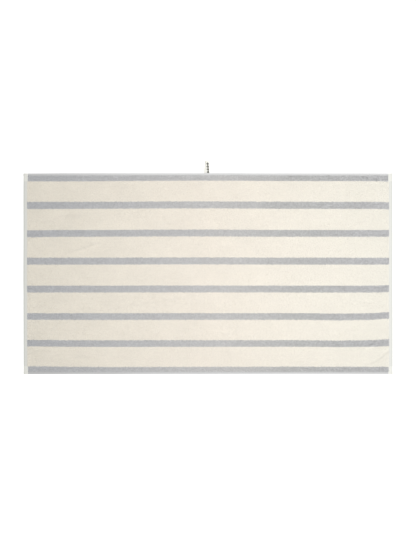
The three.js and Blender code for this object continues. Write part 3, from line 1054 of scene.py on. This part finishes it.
route = [(lean_of(LOWER_RUN, reach), reach, tape_flat) for reach in (-7.5, 0, 12, 24, 38, turn_at)]
for angle in np.linspace(0, math.pi, 13):
    x = LOWER_RUN[1] + angle / math.pi * (UPPER_RUN[1] - LOWER_RUN[1])
    reach = turn_at + turn_radius * math.sin(angle)
    route.append((x, reach, tape_flat + turn_radius * (1 - math.cos(angle))))
route += [(lean_of(UPPER_RUN, reach), reach, height) for reach, height in UPPER_HEIGHTS]
route = np.array(route)
steps = np.linalg.norm(np.diff(route, axis=0), axis=1)
print("route of", len(route), "points,", round(steps.sum(), 1), "mm long")

# %% Ease the route, and measure it
EASE_STEP = 0.75
EASE_ROUNDS = 14
run_so_far = np.concatenate([[0], np.cumsum(steps)])
fine = np.arange(0, run_so_far[-1], EASE_STEP)
route = np.stack([np.interp(fine, run_so_far, column) for column in route.T], axis=1)
for _ in range(EASE_ROUNDS):
    route[1:-1] = (route[:-2] + 2 * route[1:-1] + route[2:]) / 4
steps = np.linalg.norm(np.diff(route, axis=0), axis=1)
run_so_far = np.concatenate([[0], np.cumsum(steps)])
tape_length = run_so_far[-1]
print("tape length, mm:", round(tape_length, 1))


# %% The tape
TAPE_CROWN = 0.12  # woven tape is a little fuller in the middle
TAPE_CELL = 1.2
TAPE_ROWS = 14


def tape_at(u, v):
    """Where places on the flat tape lie: u runs along it and v across it."""
    x, reach, z = [np.interp(u, run_so_far, column) for column in route.T]
    crown = TAPE_CROWN * (1 - (2 * v / TAPE_WIDTH) ** 2)
    return x + v, half_width + reach, np.maximum(z, tape_flat) + crown * (z > tape_flat + 0.3)


tape_us = np.arange(0, tape_length, TAPE_CELL)
tape_vs = np.linspace(-TAPE_WIDTH / 2, TAPE_WIDTH / 2, TAPE_ROWS)
tape, _, _ = laid_grid("hanging_tape", tape_us, tape_vs, tape_at)
give_body(tape, TAPE_THICKNESS)
bpy.ops.object.shade_smooth_by_angle(angle=math.radians(40))
print("tape triangles:", triangles(tape))

# %% Woven tape: filament polyester, so smoother than cotton, with fine ribs across it
RIB_PITCH = 1.2
END_PITCH = 1.0  # between the threads that run along the tape, as the lozenges count them
MARK_PITCH = 12.5
MARK_STEPS = 6.2  # half a lozenge's length, in threads
MARKED_FROM = 81.2  # the face is bare from the tape's first end to here, just past the turn
RIB_DEPTH = 0.12
# the lozenges' dark thread, painted a little darker in the troughs between the ribs, as shade
MARK_TONES = [(0, "#53524e"), (1, "#696864")]


def lozenges(tree, flat, ribs):
    """Where the lozenges are, and their colour: whole threads are counted out from each middle."""
    split = add_node(tree, "ShaderNodeSeparateXYZ", {"Vector": flat})
    counts = []
    foldings = (("X", "PINGPONG", MARK_PITCH / 2, RIB_PITCH), ("Y", "ABSOLUTE", 0, END_PITCH))
    for axis, folding, half, pitch in foldings:
        count = split.outputs[axis]
        for operation, number in ((folding, half * MM), ("DIVIDE", pitch * MM), ("ROUND", 0)):
            count = add_node(tree, "ShaderNodeMath", {0: count, 1: number}, operation=operation)
        counts.append(count)
    total = add_node(tree, "ShaderNodeMath", {0: counts[0], 1: counts[1]}, operation="ADD")
    near = add_node(tree, "ShaderNodeMath", {0: total, 1: MARK_STEPS}, operation="LESS_THAN")
    inputs = {0: split.outputs["X"], 1: MARKED_FROM * MM}
    past_turn = add_node(tree, "ShaderNodeMath", inputs, operation="GREATER_THAN")
    mask = add_node(tree, "ShaderNodeMath", {0: near, 1: past_turn}, operation="MINIMUM")
    dark = add_node(tree, "ShaderNodeValToRGB", {"Fac": ribs})
    set_stops(dark, MARK_TONES)
    return mask, dark


# %% The tape's two materials
def woven_tape(name, tones, marked):
    """Ribbed off-white tape. Its face has lozenges of dark thread, stepped by whole threads."""
    finish = {**POLYESTER, "Roughness": 0.75, "Sheen Weight": 0.1}
    material, tree, shader = new_material(name, finish)
    flat = add_node(tree, "ShaderNodeUVMap", uv_map="flat_cloth")
    inputs = {"Scale": WAVE_REPEAT / (RIB_PITCH * MM), "Distortion": 0.3, "Vector": flat}
    ribs = add_node(tree, "ShaderNodeTexWave", inputs).outputs["Fac"]
    # painted shade: the colour follows the ribs, darker in the troughs between them
    colour = add_node(tree, "ShaderNodeValToRGB", {"Fac": ribs})
    set_stops(colour, tones)
    if marked:
        colour = layered(tree, colour, [lozenges(tree, flat, ribs)])
    finish_material(tree, shader, colour, ribs, RIB_DEPTH)
    return material


# tones from the troughs between the ribs to their tops, with painted shade in the troughs; the back is a
# darker copy, painted shade for the lower run, whose back is the side that shows from above
TAPE_TONES_AND_SHADE = {
    "face": [(0, "#dcdbd2"), (0.5, "#eae9e2")],
    "back": [(0, "#d2d1ca"), (0.5, "#e1e0da")],
}
for slot, (side, tones) in zip(tape.material_slots, TAPE_TONES_AND_SHADE.items()):
    slot.material = woven_tape(f"woven_tape_{side}", tones, side == "face")

# %% The bars that hold the tape's ends, through the hem
BAR_PITCH = 0.9
BAR_INSET = 3.5
BAR_HALF = 5.4
BAR_SIZE = 0.8  # of its stitches, against the others
bars = []
for middle in (LOWER_RUN[0], UPPER_RUN[0]):
    bar_us = np.arange(middle - BAR_HALF, middle + BAR_HALF + 0.1, BAR_PITCH)
    bars.append(seam(bar_us, strip_at(half_width - BAR_INSET), on_top, ALONG_Y, BAR_SIZE))
bar_stitches = join("tape_bar_stitches", bars)

# %% Put away the patterns, hang the cloth and the tape on the root body, and hide the solids
for pattern in (tuft, stitch):
    bpy.data.objects.remove(pattern)

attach(towel, "root")
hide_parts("towel")
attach(tape, "root")
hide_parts("hanging_loop")
